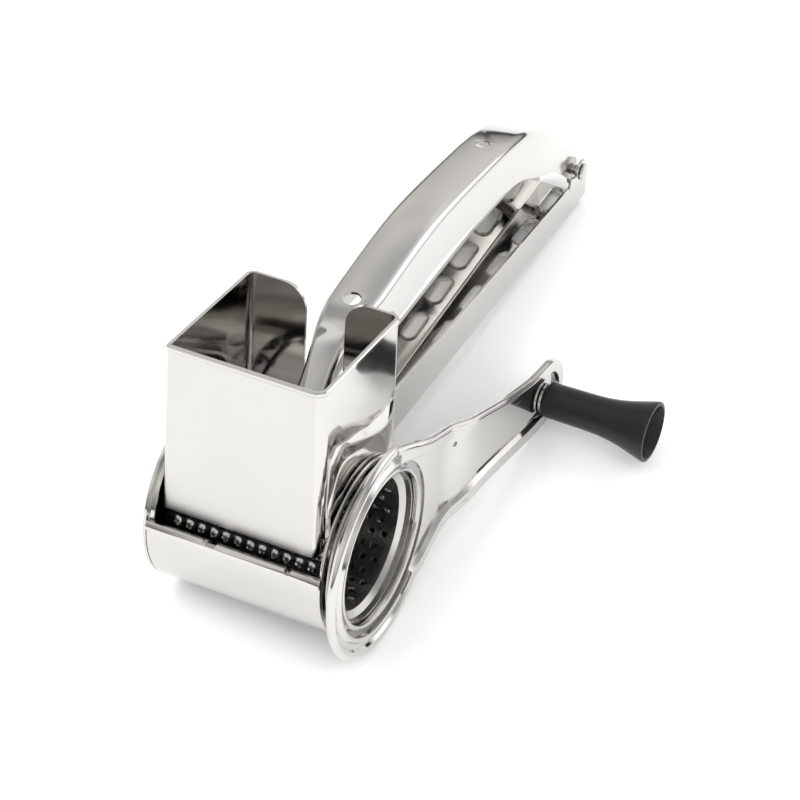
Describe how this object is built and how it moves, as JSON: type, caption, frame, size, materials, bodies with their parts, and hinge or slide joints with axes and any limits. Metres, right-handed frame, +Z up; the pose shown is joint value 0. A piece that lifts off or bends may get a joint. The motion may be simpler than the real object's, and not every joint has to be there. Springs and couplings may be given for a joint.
{
  "type": "rotary cheese grater",
  "caption": "Hand-held rotary cheese grater: hopper over a perforated grating drum turned by a side crank with a black knob, and a long hinged lever that presses the cheese down.",
  "frame": {"origin": "centre of the bounding box at its lowest point, the plane of the table that the grater rests on", "axes": "+Z up from the table, +Y from the hopper end towards the hinge end of the handles, +X towards the crank side; the grater itself lies tilted on its crank ring, its left end and the heel of its lower handle"},
  "size_m": [0.1004, 0.2156, 0.0885],
  "materials": {
    "polished_steel": "mirror-polished stainless sheet",
    "drum_steel": "bright stainless sheet, punched and burred",
    "rivet_steel": "satin steel pins, rivets and washers",
    "black_knob": "black moulded plastic, semi-gloss"
  },
  "bodies": {
    "body": {"hopper": "polished_steel", "cradle": "polished_steel", "end_plate": "polished_steel", "bearing_collar": "polished_steel", "axle_stud": "rivet_steel", "axle_washer": "rivet_steel", "lower_handle": "polished_steel", "handle_rivet_left": "rivet_steel", "handle_rivet_right": "rivet_steel", "hinge_pin": "rivet_steel"},
    "lever": {"upper_handle": "polished_steel", "presser_plate": "polished_steel", "presser_rivet_left": "rivet_steel", "presser_rivet_right": "rivet_steel"},
    "crank": {"drum_tube": "drum_steel", "drum_end_cap": "drum_steel", "drum_hub": "rivet_steel", "drum_flange": "drum_steel", "drum_mouth_bead": "drum_steel", "crank_plate": "polished_steel", "knob_spindle": "rivet_steel", "knob_washer": "rivet_steel"},
    "knob": {"knob": "black_knob"}
  },
  "joints": [
    {"name": "lever_hinge", "type": "hinge", "parent": "body", "child": "lever", "pos_m": [-0.02374, 0.10369, 0.01168], "axis": [-0.9953, -0.0192, -0.0952], "range_deg": [0, 100]},
    {"name": "crank_spin", "type": "hinge", "parent": "body", "child": "crank", "pos_m": [-0.02176, -0.07776, 0.02756], "axis": [0.9953, 0.0192, 0.0952], "continuous": true},
    {"name": "knob_spin", "type": "hinge", "parent": "crank", "child": "knob", "pos_m": [0.01651, 0.01268, 0.00943], "axis": [0.9953, 0.0192, 0.0952], "continuous": true}
  ]
}
